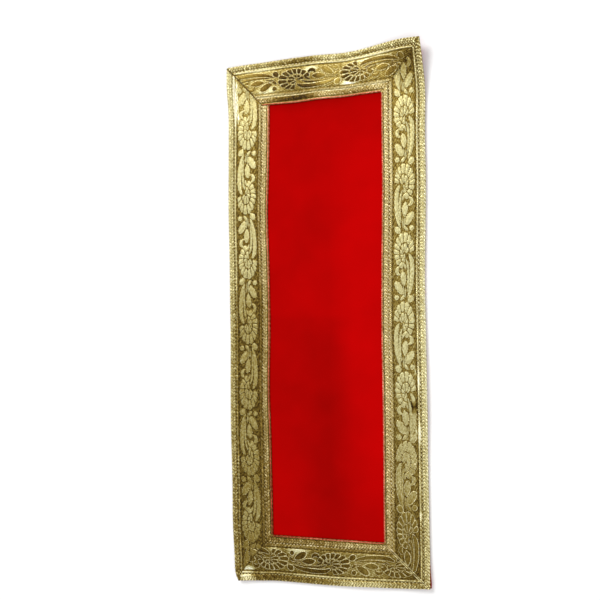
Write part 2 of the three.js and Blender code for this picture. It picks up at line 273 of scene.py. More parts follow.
# The ribbon's cross-section: place from its outer edge and height of its top above the underside
PROFILE = (
    (0, 1.9), (0.25, 2.2), (0.9, 2.32), (4.4, 2.32), (4.75, 2.02), (5.25, 2.0), (5.6, 2.18), (7.2, 2.2),
    (7.5, 2.05), (8.0, 2.05), (8.5, 2.18), (9.5, 2.24), (17, 2.3), (25, 2.24), (26.1, 2.16), (26.3, 2.05),
    (26.8, 2.05), (27.1, 2.16), (29.0, 2.16), (29.3, 2.0), (29.8, 2.0), (30.2, 2.32), (33.7, 2.32),
    (33.95, 2.18), (34.35, 2.18), (34.6, 2.28), (35.3, 2.2), (36, 1.9),
)
RIBBON_UNDERSIDE = 1.03
FIELD_EDGES = (8.3, 26.2)
# The middles of the narrow grooves between the bands, half their width, and how bright they are painted as
# a share of the painted light round them: painted shade in the grooves
GROOVES, GROOVE_HALF, GROOVE_SHARE = np.array([5.0, 7.75, 26.55, 29.55, 34.15]), 0.3, 0.26
OUTER_TWILL_END, INNER_TWILL_START = 4.6, 30.0
# Where the painted light passes this, the ribbon between the floats is painted brighter faster: a painted
# highlight that spreads from the gleaming floats onto it
HIGHLIGHT_SPREAD_FROM, HIGHLIGHT_SPREAD_GAIN = 1.2, 1.2
# The rise of the ribbon under each flower head: middle from the knot and the edge, half sizes, height
HEAD_MIDDLE, HEAD_HALF, HEAD_RISE = (38.5, 17.0), (15.0, 9.0), 0.28


def mitre_at(across, lap):
    """Where a strip starts at a distance in from its outer edge: on the mitre, or on its lapped line."""
    if lap > 0:
        return np.minimum(across * RIBBON_WIDTH / (RIBBON_WIDTH - lap), RIBBON_WIDTH)
    return across * (RIBBON_WIDTH + lap) / RIBBON_WIDTH


def limits(strip, across):
    """The first and last place along a strip, at a distance in from its outer edge."""
    start = mitre_at(across, strip["laps"][0]) + strip["seams"][0]
    end = strip["length"] - mitre_at(across, strip["laps"][1]) - strip["seams"][1]
    return start, end


def on_strip(strip, along, across, height):
    """Points of a strip as they lie."""
    x = strip["corner"][0] + strip["running"][0] * along + strip["facing"][0] * across
    y = strip["corner"][1] + strip["running"][1] * along + strip["facing"][1] * across
    return lay(x, y, height)


def tone_and_painted_light_on(name, along, across, kind):
    """How bright the light and shade painted on the metal yarns are at places of a strip, with the painted
    gleams and shade and the worn spot: 0 is dull bronze, 1 pale gold.
    """
    rows = STRIPS[name]["tone_and_painted_light"]
    tone_and_painted_light = np.interp(along, [row[0] for row in rows], [row[kind] for row in rows])
    for middle_along, middle_across, half_along, half_across, amount in PAINTED_GLEAMS.get((name, kind), ()):
        off = np.hypot((along - middle_along) / half_along, (across - middle_across) / half_across)
        tone_and_painted_light = tone_and_painted_light + amount * np.clip(GLEAM_REACH - off, 0, 1)
    if name == WORN_STRIP:
        off = np.hypot((along - WORN_ALONG) / WORN_HALF_ALONG, (across - WORN_ACROSS) / WORN_HALF_ACROSS)
        tone_and_painted_light = np.where(off < 1, tone_and_painted_light - WORN_MIDDLE * (1 - off) - WORN_RIM, tone_and_painted_light)
    return tone_and_painted_light


def head_swell(from_knot, side):
    """How much the woven flower heads lift the ribbon, from the middle of the head outwards."""
    off = np.hypot((from_knot - HEAD_MIDDLE[0]) / HEAD_HALF[0], (side - HEAD_MIDDLE[1]) / HEAD_HALF[1])
    return HEAD_RISE * np.clip(1 - off * off, 0, 1)


def flower_place(strip, along, across):
    """The place of a strip counted from the knot of its flower, with the long leaf's side outside."""
    from_first = along - strip["first_knot"]
    turn = np.floor(from_first / PATTERN_REPEAT)
    outside = (turn % 2 == 0) == strip["leaf_outside"]
    return from_first - turn * PATTERN_REPEAT, np.where(outside, across, 2 * FIELD_MIDDLE - across)


# ---- Meshes ----

def make_piece(name, points, faces, materials, uv, face_materials, tone_and_painted_light):
    """A mesh object at the origin with its place in its mesh.

    uv has one value a point; the tone and painted light has one row of values a point, with one column for
    each material.
    """
    mesh = bpy.data.meshes.new(name)
    mesh.from_pydata(points.tolist(), [], faces)
    for material in materials:
        mesh.materials.append(material)
    face_materials = np.asarray(face_materials, np.int32)
    mesh.polygons.foreach_set("material_index", face_materials)
    corner = np.zeros(len(mesh.loops), np.int32)
    mesh.loops.foreach_get("vertex_index", corner)
    mesh.uv_layers.new(name="Flat").data.foreach_set("uv", uv[corner].astype(np.float32).ravel())
    sizes = np.zeros(len(mesh.polygons), np.int32)
    mesh.polygons.foreach_get("loop_total", sizes)
    value = tone_and_painted_light[corner, np.repeat(face_materials, sizes)].astype(np.float32)
    mesh.attributes.new("tone_and_painted_light", "FLOAT", "CORNER").data.foreach_set("value", value)
    mesh.shade_smooth()
    piece = bpy.data.objects.new(name, mesh)
    bpy.context.scene.collection.objects.link(piece)
    return piece


def face_outwards(piece):
    """Recalculates the normals of closed bodies so that they face out."""
    shell = bmesh.new()
    shell.from_mesh(piece.data)
    bmesh.ops.recalc_face_normals(shell, faces=shell.faces)
    shell.to_mesh(piece.data)
    shell.free()
    piece.data.shade_smooth()


def closed_sheet(rows, columns):
    """The faces of a closed sheet of rows x columns points: its top grid, then its underside grid."""
    at = np.arange(rows * columns).reshape(rows, columns)
    top = np.stack([at[:-1, :-1], at[:-1, 1:], at[1:, 1:], at[1:, :-1]], -1).reshape(-1, 4)
    under = top[:, ::-1] + rows * columns
    rim = np.concatenate([at[0, :-1], at[:-1, -1], at[-1, :0:-1], at[:0:-1, 0]])
    after = np.roll(rim, -1)
    wall = np.stack([after, rim, rim + rows * columns, after + rows * columns], -1)
    return top, under, wall


# How far apart the points of the velvet are
VELVET_STEP = 1.75
# How light the velvet is painted, from 0 to 1, and how much lighter or darker its patches are painted:
# painted light and shade where the cloth waves, a painted shadow by the far ribbon and painted shade under
# the right ribbon. A patch comes in between two places across the cloth (x) or along it (y).
VELVET_BASE_TONE = 0.46
PAST_FOLD_Y, PAST_FOLD_DARKER = (212, 208), 0.09
RIGHT_X, RIGHT_FAR_Y, RIGHT_NEAR_Y = (4, 24), (372, 332), (10, 110)
RIGHT_LIGHTER, RIGHT_UNFOLDED = 0.17, 0.7
NEAR_LEFT_X, NEAR_LEFT_Y, NEAR_LEFT_LIGHTER = (-5, -25), (120, 60), 0.08
HOLLOW_X, HOLLOW_HALF_WIDTH, HOLLOW_Y, HOLLOW_DARKER = 6, 22, (200, 140), 0.14
FAR_SHADE_Y, FAR_SHADE_POWER, FAR_SHADE_DARKER = (373, 384), 1.5, 0.2
UNDER_RIBBON_X, UNDER_RIBBON_DARKER = (65.5, 67.5), 0.4


def coming_in(places, span):
    """Grows from 0 at the first place of a span to 1 at the second."""
    return np.clip((places - span[0]) / (span[1] - span[0]), 0, 1)


def velvet_tone_and_painted_light_at(x, y):
    """Light and shade painted on the velvet: painted shade past the fold, in a hollow near the middle, by
    the far ribbon and under the right ribbon, and painted light on the right and near the left.
    """
    right = coming_in(x, RIGHT_X) * coming_in(y, RIGHT_FAR_Y) * coming_in(y, RIGHT_NEAR_Y)
    near_left = coming_in(x, NEAR_LEFT_X) * coming_in(y, NEAR_LEFT_Y)
    hollow = np.exp(-((x - HOLLOW_X) / HOLLOW_HALF_WIDTH) ** 2) * coming_in(y, HOLLOW_Y)
    return (
        VELVET_BASE_TONE - PAST_FOLD_DARKER * coming_in(y, PAST_FOLD_Y) * (1 - RIGHT_UNFOLDED * right)
        + RIGHT_LIGHTER * right + NEAR_LEFT_LIGHTER * near_left - HOLLOW_DARKER * hollow
        - FAR_SHADE_DARKER * coming_in(y, FAR_SHADE_Y) ** FAR_SHADE_POWER
        - UNDER_RIBBON_DARKER * coming_in(x, UNDER_RIBBON_X)
    )


def velvet_panel(pile, back):
    """The velvet: a sheet a millimetre thick, with the mark of an old fold across its middle."""
    def lines(size):
        count = round(size / VELVET_STEP)
        middle = np.linspace(0, size, count + 1)[1:-1]
        return np.concatenate([[VELVET_INSET], middle, [size - VELVET_INSET]])

    x, y = np.meshgrid(lines(CLOTH_WIDTH) - CLOTH_WIDTH / 2, lines(CLOTH_LENGTH))
    peep = PEEP_OUT * np.cos(np.clip(y[:, -1] / PEEP_REACH, 0, 1) * math.pi / 2) ** 2
    x[:, -1] += peep
    off = np.clip(np.abs(y - FOLD_AT) / FOLD_HALF_WIDTH, 0, 1)
    trough = FOLD_DEPTH * np.cos(off * math.pi / 2) ** 2
    rows, columns = x.shape
    points = np.concatenate([
        lay(x, y, VELVET_THICKNESS - trough).reshape(-1, 3), lay(x, y, 0).reshape(-1, 3),
    ])
    top, under, wall = closed_sheet(rows, columns)
    faces = np.concatenate([top, under, wall])
    which = np.concatenate([np.zeros(len(top)), np.ones(len(under)), np.zeros(len(wall))])
    flat = np.stack([x, y], -1).reshape(-1, 2) * MM
    # Painted light and shade of the velvet, the same on its top and its underside
    velvet_tone_and_painted_light = np.concatenate([velvet_tone_and_painted_light_at(x, y).ravel()] * 2)
    return make_piece(
        "velvet_panel", points, faces.tolist(), [pile, back], np.concatenate([flat, flat]), which,
        np.stack([velvet_tone_and_painted_light, velvet_tone_and_painted_light], -1),
    )


# How far apart the points of a ribbon are along it, and the extra lines of points along its flower field
RIBBON_STEP = 1.4
FIELD_LINES = np.arange(9, 26.5, 1.25)


def ribbon_sheet(name, ground):
    """A strip's woven ground, with its grooves and the low rise under each flower."""
    strip = STRIPS[name]
    inner = [place for place, _ in PROFILE]
    across = np.unique(np.concatenate([inner, FIELD_LINES]))
    height = np.interp(across, inner, [height for _, height in PROFILE])
    count = round(strip["length"] / RIBBON_STEP)
    station = np.linspace(0, strip["length"], count + 1)
    station, across = np.meshgrid(station, across, indexing="ij")
    start, end = limits(strip, across)
    near = start + station / MITRE_ZONE * (MITRE_ZONE - start)
    left = strip["length"] - station
    far = end - left / MITRE_ZONE * (end - strip["length"] + MITRE_ZONE)
    along = np.where(station < MITRE_ZONE, near, np.where(left < MITRE_ZONE, far, station))
    from_knot, side = flower_place(strip, along, across)
    height = np.broadcast_to(height, along.shape) + head_swell(from_knot, side)
    in_field = (across > FIELD_EDGES[0]) & (across < FIELD_EDGES[1])
    in_groove = np.abs(across[..., None] - GROOVES).min(axis=-1) < GROOVE_HALF
    in_twill = (across < OUTER_TWILL_END) | (across > INNER_TWILL_START)
    ground_shine, twill_shine, cord_shine = (
        tone_and_painted_light_on(name, along, across, kind) for kind in (GROUND, TWILLS, CORDS)
    )
    # Painted shade: the ribbon between the floats and in the grooves is painted darker than the floats, and
    # where they gleam a painted highlight spreads onto it
    over = np.where(in_twill, twill_shine, cord_shine)
    share = np.where(in_groove, GROOVE_SHARE, np.where(in_twill, *strip["between"]))
    under_floats = share * over + HIGHLIGHT_SPREAD_GAIN * np.clip(over - HIGHLIGHT_SPREAD_FROM, 0, 1)
    tone_and_painted_light = np.where(in_field, ground_shine, under_floats)
    points = np.concatenate([
        on_strip(strip, along, across, height).reshape(-1, 3),
        on_strip(strip, along, across, RIBBON_UNDERSIDE).reshape(-1, 3),
    ])
    flat = np.stack([along, across], -1).reshape(-1, 2) * MM
    faces = np.concatenate(closed_sheet(*along.shape)).tolist()
    piece = make_piece(
        f"ribbon_{name}_ground", points, faces, [ground], np.concatenate([flat, flat]), [0] * len(faces),
        np.concatenate([tone_and_painted_light.ravel(), tone_and_painted_light.ravel()])[:, None],
    )
    face_outwards(piece)
    return piece


# ---- The flowers: petals and leaves, each a low pillow with an outline thread round it ----

# Half widths along a petal or leaf from its base to its tip, as shares of the full half width
PETAL_FORM = ((0, 0), (0.04, 0.75), (0.13, 1), (0.4, 1), (0.84, 1), (0.9, 0.96), (0.97, 0.7), (1, 0))
LEAF_FORM = ((0, 0), (0.07, 0.3), (0.2, 0.66), (0.4, 0.96), (0.6, 1), (0.8, 0.76), (0.93, 0.4), (1, 0))
BUD_FORM = ((0, 0), (0.05, 0.36), (0.2, 0.78), (0.42, 1), (0.66, 1), (0.84, 0.8), (0.95, 0.48), (1, 0))
STEM_FORM = ((0, 0), (0.04, 0.4), (0.14, 0.7), (0.35, 0.95), (0.65, 1), (0.86, 0.9), (0.96, 0.55), (1, 0))
ROUND_FORM = ((0, 0), (0.06, 0.46), (0.2, 0.8), (0.4, 0.98), (0.6, 0.98), (0.8, 0.8), (0.94, 0.46), (1, 0))
FORM_ROWS = 9
GAP_BETWEEN = 0.14
# A petal keeps at least this share of its width beside that gap, and is measured this far up its length
LEAST_WIDTH, MEASURED_AT = 0.2, 0.6
# The edge rings of a long thin leaf stop at this share of its length from each end
LONGEST_INSET = 0.42
# Steps along a fan's rim and a leaf's middle, and the radians over which a petal's width is measured
RIM_SAMPLES, LEAF_SAMPLES, TURN_STEP = 400, 49, 0.02

# Rings of a pillow from its edge inwards: share of the half width in from the edge, and the height
PILLOW_RINGS = ((0.0, -0.25), (0.0, 0.12), (0.07, 0.30), (0.16, 0.24), (0.45, 0.36), (0.84, 0.43))
OUTLINE_RINGS = (1, 2)

# Fans of petals: middles and half sizes of the ellipses of their bases and tips, angles, and count
RIM_PETALS = dict(
    base=(37.0, 16.6, 7.6, 4.0), tip=(38.5, 17.0, 14.4, 8.6), angles=(-92, 176), count=11, lift=1.0,
)
INNER_PETALS = dict(
    base=(35.4, 16.6, 1.9, 1.0), tip=(37.0, 16.6, 7.4, 3.8), angles=(-84, 196), count=6, lift=1.15,
)

# Leaves and stems: points along the middle from the knot, half width, form
LEAVES = (
    (
        ((2.4, 14.0), (8, 11.8), (15, 10.6), (22, 10.2), (28, 10.3), (33.0, 11.2), (36.2, 13.2)),
        2.0, STEM_FORM,
    ),
    (((6.4, 14.2), (11, 13.5), (18, 13.2), (24, 13.4), (29, 14.1), (32.2, 15.6)), 1.0, STEM_FORM),
    (((23.6, 15.2), (26.4, 16.0), (28.4, 17.6), (28.8, 20.0)), 1.15, LEAF_FORM),
    (((10.6, 17.0), (15.0, 17.2), (19.4, 17.5), (23.2, 18.3)), 2.8, LEAF_FORM),
    (((2.0, 15.8), (6, 15.8), (10.6, 15.3)), 0.62, LEAF_FORM),
    (((3.0, 17.1), (7, 17.1), (11.4, 17.6)), 0.62, LEAF_FORM),
    (((32.2, 16.6), (36.0, 16.6)), 0.9, ROUND_FORM),
    (((4.4, 18.2), (9.4, 20.7), (15.2, 24.2)), 3.0, BUD_FORM),
    (((0.2, 22.9), (4.8, 23.1)), 2.3, ROUND_FORM),
    (((0.2, 20.0), (2.4, 18.0), (4.6, 16.6)), 1.4, LEAF_FORM),
    (((-1.6, 13.6), (1.0, 11.6), (4.2, 9.9)), 2.6, BUD_FORM),
    (((19.8, 19.2), (20.6, 21.8), (23.0, 23.0), (25.4, 22.0), (26.2, 20.0)), 1.7, LEAF_FORM),
)


def smooth_line(points, shares):
    """Points at shares of a smooth line through a few points, and the direction across it."""
    points = np.array(points, float)
    steps = np.concatenate([[0], np.cumsum(np.linalg.norm(np.diff(points, axis=0), axis=1))])
    steps /= steps[-1]
    if len(points) > 2:
        slope = np.gradient(points, steps, axis=0)
    else:
        slope = np.repeat(np.diff(points, axis=0), 2, axis=0)
    row = np.clip(np.searchsorted(steps, shares, side="right") - 1, 0, len(points) - 2)
    span = (steps[row + 1] - steps[row])[:, None]
    t = (shares - steps[row])[:, None] / span
    place = (
        (2 * t**3 - 3 * t**2 + 1) * points[row] + (t**3 - 2 * t**2 + t) * span * slope[row]
        + (3 * t**2 - 2 * t**3) * points[row + 1] + (t**3 - t**2) * span * slope[row + 1]
    )
    tangent = np.gradient(place, axis=0)
    tangent /= np.linalg.norm(tangent, axis=1)[:, None]
    return place, np.stack([-tangent[:, 1], tangent[:, 0]], -1)


def pillow(place_at, form, half_width, length, height):
    """One petal or leaf, closed: rings of points from its edge inwards, with their heights, and faces."""
    shares = 0.5 - 0.5 * np.cos(np.linspace(0, math.pi, FORM_ROWS))
    profile = np.interp(shares, [row[0] for row in form], [row[1] for row in form])
    rings = []
    for inset, lift in PILLOW_RINGS:
        inset_long = min(inset * half_width / length, LONGEST_INSET)
        moved = inset_long + shares * (1 - 2 * inset_long)
        left = place_at(moved, profile * (1 - inset))
        right = place_at(moved, -profile * (1 - inset))
        ring = np.concatenate([left, right[-2:0:-1]])
        rings.append(np.column_stack([ring, np.full(len(ring), lift * height)]))
    count = len(rings[0])
    faces, outline = [], []
    for level in range(len(rings) - 1):
        low, high = level * count, (level + 1) * count
        for k in range(count):
            after = (k + 1) % count
            faces.append((low + k, low + after, high + after, high + k))
            outline.append(level in OUTLINE_RINGS)
    for first in (0, (len(rings) - 1) * count):
        for k in range(FORM_ROWS - 1):
            # At its tips the band between both sides narrows to a triangle
            quad = (k, k + 1, count - k - 1, (count - k) % count)
            faces.append(tuple(dict.fromkeys(first + corner for corner in quad)))
            outline.append(False)
    return np.concatenate(rings), faces, outline


def flower_elements():
    """Every petal and leaf of one flower, in places from its knot."""
    made = []
    for fan in (RIM_PETALS, INNER_PETALS):
        base_x, base_y, base_long, base_wide = fan["base"]
        tip_x, tip_y, tip_long, tip_wide = fan["tip"]
        # The petals share the rim of the tips evenly
        fine = np.radians(np.linspace(*fan["angles"], RIM_SAMPLES))
        round_rim = np.cumsum(np.hypot(tip_long * np.sin(fine), tip_wide * np.cos(fine)))
        parts = np.interp(np.linspace(round_rim[0], round_rim[-1], fan["count"] + 1), round_rim, fine)
        for first, last in zip(parts[:-1], parts[1:]):
            middle, spread = (first + last) / 2, last - first

            def place_at(share, side, middle=middle, spread=spread):
                def ring(turn):
                    across, up = np.cos(turn), np.sin(turn)
                    base = np.stack([base_x + base_long * across, base_y + base_wide * up], -1)
                    tip = np.stack([tip_x + tip_long * across, tip_y + tip_wide * up], -1)
                    return base + (tip - base) * share[:, None]
                step = np.linalg.norm(ring(middle + TURN_STEP) - ring(middle - TURN_STEP), axis=1)
                width = step / (2 * TURN_STEP) * spread / 2
                keep = np.clip((width - GAP_BETWEEN / 2) / width, LEAST_WIDTH, 1)
                return ring(middle + side * keep * spread / 2)

            ends = place_at(np.array([0.0, 1.0]), np.zeros(2))
            length = float(np.linalg.norm(ends[1] - ends[0]))
            broad = place_at(np.full(2, MEASURED_AT), np.array([-1.0, 1.0]))
            half_width = float(np.linalg.norm(broad[1] - broad[0])) / 2
            made.append(pillow(place_at, PETAL_FORM, half_width, length, fan["lift"]))
    for points, half_width, form in LEAVES:
        def place_at(share, side, points=points, half_width=half_width):
            fine = np.linspace(0, 1, LEAF_SAMPLES)
            line, normal = smooth_line(points, fine)
            along = np.stack([np.interp(share, fine, line[:, k]) for k in (0, 1)], -1)
            across = np.stack([np.interp(share, fine, normal[:, k]) for k in (0, 1)], -1)
            return along + across * (side * half_width)[:, None]
        length = float(np.linalg.norm(np.diff(np.array(points, float), axis=0), axis=1).sum())
        made.append(pillow(place_at, form, half_width, length, 1.0))
    return made


# How high a petal's rings reach, how high it starts above the underside, and how far it is cut off
# short of a mitre
PETAL_HEIGHT, FLOWER_BASE, CUT_CLEARANCE = 0.95, 2.26, 0.5
# A petal or leaf is left out where less of it than this share is inside the mitres
LEAST_SHOWN = 0.2


def ribbon_flowers(name, elements, satin, thread):
    """The row of flowers woven on a strip, cut off at its mitres."""
    strip = STRIPS[name]
    first_turn = math.floor(-strip["first_knot"] / PATTERN_REPEAT)
    last_turn = math.ceil((strip["length"] - strip["first_knot"]) / PATTERN_REPEAT)
    points, faces, which, tone_and_painted_light, flat = [], [], [], [], []
    total = 0
    for turn in range(first_turn, last_turn + 1):
        outside = (turn % 2 == 0) == strip["leaf_outside"]
        for place, element_faces, outline in elements:
            along = place[:, 0] + strip["first_knot"] + turn * PATTERN_REPEAT
            across = place[:, 1] if outside else 2 * FIELD_MIDDLE - place[:, 1]
            start, end = limits(strip, across)
            start, end = start + CUT_CLEARANCE, end - CUT_CLEARANCE
            if np.mean((along > start) & (along < end)) < LEAST_SHOWN:
                continue
            along = np.clip(along, start, end)
            height = FLOWER_BASE + PETAL_HEIGHT * place[:, 2] + head_swell(place[:, 0], place[:, 1])
            points.append(on_strip(strip, along, across, height))
            shines = [tone_and_painted_light_on(name, along, across, kind) for kind in (FLOWERS, OUTLINES)]
            tone_and_painted_light.append(np.stack(shines, -1))
            flat.append(np.stack([along, across], -1) * MM)
            faces.extend(tuple(k + total for k in face) for face in element_faces)
            which.extend(outline)
            total += len(place)
    piece = make_piece(
        f"ribbon_{name}_flowers", np.concatenate(points), faces, [satin, thread], np.concatenate(flat),
        np.array(which, int), np.concatenate(tone_and_painted_light),
    )
    face_outwards(piece)
    return piece


# ---- Floats: the slanted stitches of the twill bands and cords, made by Geometry Nodes ----

def add(tree, kind, inputs=None, **settings):
    """Adds a node with its settings, and a value, a link or a node's first output for each input named."""
    made = tree.nodes.new(kind)
    for key, value in settings.items():
        setattr(made, key, value)
    for key, value in (inputs or {}).items():
        if isinstance(value, bpy.types.Node):
            value = value.outputs[0]
        if isinstance(value, bpy.types.NodeSocket):
            tree.links.new(value, made.inputs[key])
        else:
            made.inputs[key].default_value = value
    return made


# A float has few faces, because there are thousands of them
FLOAT_SEGMENTS, FLOAT_RINGS = 6, 4
FLOAT_SIZES = ("Length", "Width", "Height", "Slant", "Unevenness", "Alternation", "Glint")


def floats_tree():
    """Geometry nodes that set a small slanted yarn float at each point along the lines of a guide mesh."""
    tree = bpy.data.node_groups.new("Yarn floats along a row", "GeometryNodeTree")
    sockets = [("Geometry", "Geometry"), *((name, "Float") for name in FLOAT_SIZES)]
    for name, kind in (*sockets, ("Seed", "Int"), ("Material", "Material")):
        tree.interface.new_socket(name, in_out="INPUT", socket_type=f"NodeSocket{kind}")
    tree.interface.new_socket("Geometry", in_out="OUTPUT", socket_type="NodeSocketGeometry")
    given = add(tree, "NodeGroupInput").outputs

    # How bright each float is painted: with the painted light of its place, every second one duller, and
    # some painted glints at random
    line = add(tree, "GeometryNodeMeshToCurve", {"Mesh": given["Geometry"]})
    index = add(tree, "GeometryNodeInputIndex")
    odd = add(tree, "ShaderNodeMath", {0: index, 1: 2.0}, operation="MODULO")
    dimming = add(tree, "ShaderNodeMath", {0: odd, 1: given["Alternation"]}, operation="MULTIPLY")
    tone_and_painted_light = add(tree, "GeometryNodeInputNamedAttribute", {"Name": "tone_and_painted_light"}, data_type="FLOAT")
    dimmed = add(tree, "ShaderNodeMath", {0: tone_and_painted_light, 1: dimming}, operation="SUBTRACT")
    random = add(tree, "FunctionNodeRandomValue", {"Seed": given["Seed"]}, data_type="FLOAT")
    random.inputs["Min"].default_value, random.inputs["Max"].default_value = -1.0, 1.0
    chance = random.outputs[1]
    glint = add(tree, "ShaderNodeMath", {0: chance, 1: given["Glint"]}, operation="MULTIPLY")
    glinting = add(tree, "ShaderNodeMath", {0: dimmed, 1: glint}, operation="ADD")
    stored = add(
        tree, "GeometryNodeStoreNamedAttribute", {"Geometry": line, "Name": "tone_and_painted_light", "Value": glinting},
        data_type="FLOAT", domain="POINT",
    )

    # How it lies: along the row, turned by its slant the way its row leans, a little unevenly
    tangent = add(tree, "GeometryNodeInputTangent")
    facing = add(
        tree, "FunctionNodeAxesToRotation", {"Primary Axis": (0, 0, 1), "Secondary Axis": tangent},
        primary_axis="Z", secondary_axis="X",
    )
    lean = add(tree, "GeometryNodeInputNamedAttribute", {"Name": "lean"}, data_type="FLOAT")
    slanted = add(tree, "ShaderNodeMath", {0: given["Slant"], 1: lean}, operation="MULTIPLY")
    uneven = add(tree, "ShaderNodeMath", {0: chance, 1: given["Unevenness"]}, operation="MULTIPLY")
    turn = add(tree, "ShaderNodeMath", {0: slanted, 1: uneven}, operation="ADD")
    about_up = add(tree, "ShaderNodeCombineXYZ", {"Z": turn})
    turned = add(tree, "FunctionNodeEulerToRotation", {0: about_up})
    rotation = add(
        tree, "FunctionNodeRotateRotation", {"Rotation": facing, "Rotate By": turned},
        rotation_space="LOCAL",
    )
    size = add(
        tree, "ShaderNodeCombineXYZ", {"X": given["Length"], "Y": given["Width"], "Z": given["Height"]},
    )
    stretch = add(tree, "ShaderNodeMath", {0: uneven, 1: 1.0}, operation="ADD")
    scale = add(tree, "ShaderNodeVectorMath", {0: size, "Scale": stretch}, operation="SCALE")

    # The float itself: a small ball with its poles at its ends, mapped along its length
    ball = add(
        tree, "GeometryNodeMeshUVSphere",
        {"Segments": FLOAT_SEGMENTS, "Rings": FLOAT_RINGS, "Radius": 0.5},
    )
    lying = add(tree, "GeometryNodeTransform", {"Geometry": ball, "Rotation": (0, math.pi / 2, 0)})
    mapped = add(
        tree, "GeometryNodeStoreNamedAttribute",
        {"Geometry": lying, "Name": "Flat", "Value": ball.outputs["UV Map"]},
        data_type="FLOAT2", domain="CORNER",
    )
    floats = add(
        tree, "GeometryNodeInstanceOnPoints",
        {"Points": stored, "Instance": mapped, "Rotation": rotation, "Scale": scale},
    )
    real = add(tree, "GeometryNodeRealizeInstances", {"Geometry": floats})

    # Each float's own map is set down at its place on the flat strip
    wrap = add(tree, "GeometryNodeInputNamedAttribute", {"Name": "Flat"}, data_type="FLOAT_VECTOR")
    sized = add(tree, "ShaderNodeVectorMath", {0: wrap, "Scale": given["Length"]}, operation="SCALE")
    place = add(tree, "GeometryNodeInputNamedAttribute", {"Name": "place"}, data_type="FLOAT_VECTOR")
    on_flat = add(tree, "ShaderNodeVectorMath", {0: sized, 1: place}, operation="ADD")
    unrolled = add(
        tree, "GeometryNodeStoreNamedAttribute", {"Geometry": real, "Name": "Flat", "Value": on_flat},
        data_type="FLOAT2", domain="CORNER",
    )
    soft = add(tree, "GeometryNodeSetShadeSmooth", {"Geometry": unrolled})
    finished = add(tree, "GeometryNodeSetMaterial", {"Geometry": soft, "Material": given["Material"]})
    add(tree, "NodeGroupOutput", {"Geometry": finished})
    return tree


# Kinds of float: pitch, length, width and height in millimetres, slant in degrees, unevenness, how much
# duller every second one is, how much they glint at random as painted glints, which part of the strip's
# painted light they take, and how much lighter they are painted than that. The dots in the ribbon are
# LOOM_PITCH apart. The real twill has a float each third of it, and it is drawn coarser, at three quarters,
# so that it shows.
TWILL = dict(
    pitch=LOOM_PITCH * 3 / 4, length=2.6, width=1.4, height=0.55, slant=44, uneven=0.10, alternate=0.0,
    glint=0.15, part=TWILLS, lighter=-0.13,
)
ROPE = dict(
    pitch=LOOM_PITCH / 2, length=2.5, width=1.2, height=0.8, slant=48, uneven=0.06, alternate=0.14,
    glint=0.08, part=CORDS, lighter=-0.28,
)
THIN_CORD = dict(
    pitch=LOOM_PITCH / 2, length=2.0, width=1.5, height=0.8, slant=24, uneven=0.08, alternate=0.14,
    glint=0.1, part=CORDS, lighter=-0.14,
)
EDGE_BEAD = dict(
    pitch=LOOM_PITCH, length=2.2, width=1.15, height=0.8, slant=24, uneven=0.10, alternate=0.0,
    glint=0.1, part=TWILLS, lighter=0.06,
)
INNER_BEAD = dict(
    pitch=LOOM_PITCH / 2, length=1.9, width=1.15, height=0.9, slant=15, uneven=0.08, alternate=0.15,
    glint=0.1, part=TWILLS, lighter=0.06,
)
GROOVE_STITCH = dict(
    pitch=LOOM_PITCH, length=1.7, width=0.7, height=0.5, slant=6, uneven=0.10, alternate=0.0,
    glint=0.12, part=CORDS, lighter=-0.1,
)
FOLD_STITCH = dict(
    pitch=1.3, length=1.8, width=0.6, height=0.8, slant=12, uneven=0.12, alternate=0.1,
    glint=0.2, part=CORDS, lighter=0.1,
)

# Rows of floats: kind, rows (place from the outer edge, way it leans, stagger as a share of the pitch),
# and height of the middle. The two rows of each twill band lean against each other as a herringbone.
TWILL_ROWS = ((TWILL, ((1.7, 1, 0), (3.35, -1, 0.3), (31.1, 1, 0), (32.8, -1, 0.3)), 2.36),)
CORD_ROWS = (
    (ROPE, ((28.05, 1, 0),), 2.26),
    (THIN_CORD, ((6.4, 1, 0),), 2.26),
    (EDGE_BEAD, ((0.55, 1, 0),), 2.12),
    (GROOVE_STITCH, ((5.0, 1, 0), (29.55, 1, 0.5)), 2.05),
)
INNER_EDGE_ROWS = ((INNER_BEAD, ((35.3, 1, 0),), 2.15),)
# Where a folded edge stands up along a mitre: strip, at its start or end, how far in from the mitre
FOLD_ROWS = {"right": ((True, 0.7),), "bottom": ((False, 0.9),)}
FOLD_FROM, FOLD_TO, FOLD_ROW_HEIGHT = 1.5, 34.5, 2.5
# A row of floats stops this share of a float's length short of the strip's ends
END_SHARE = 0.36


def straight_rows(strip, kind, places):
    """The places along a strip of each row of floats, with its distance in from the outer edge."""
    for across, way, stagger in places:
        start, end = (float(value) for value in limits(strip, np.array(across)))
        reach = kind["length"] * END_SHARE
        first = math.ceil((start + reach) / kind["pitch"] - stagger)
        last = math.floor((end - reach) / kind["pitch"] - stagger)
        along = (np.arange(first, last + 1) + stagger) * kind["pitch"]
        yield along, np.full(len(along), float(across)), way


def fold_rows(strip, folds):
    """The places of the stitches along folded edges at the ends of a strip."""
    across = np.arange(FOLD_FROM, FOLD_TO, FOLD_STITCH["pitch"] / math.sqrt(2))
    for at_start, inset in folds:
        start, end = limits(strip, across)
        yield (start + inset if at_start else end - inset), across, 1


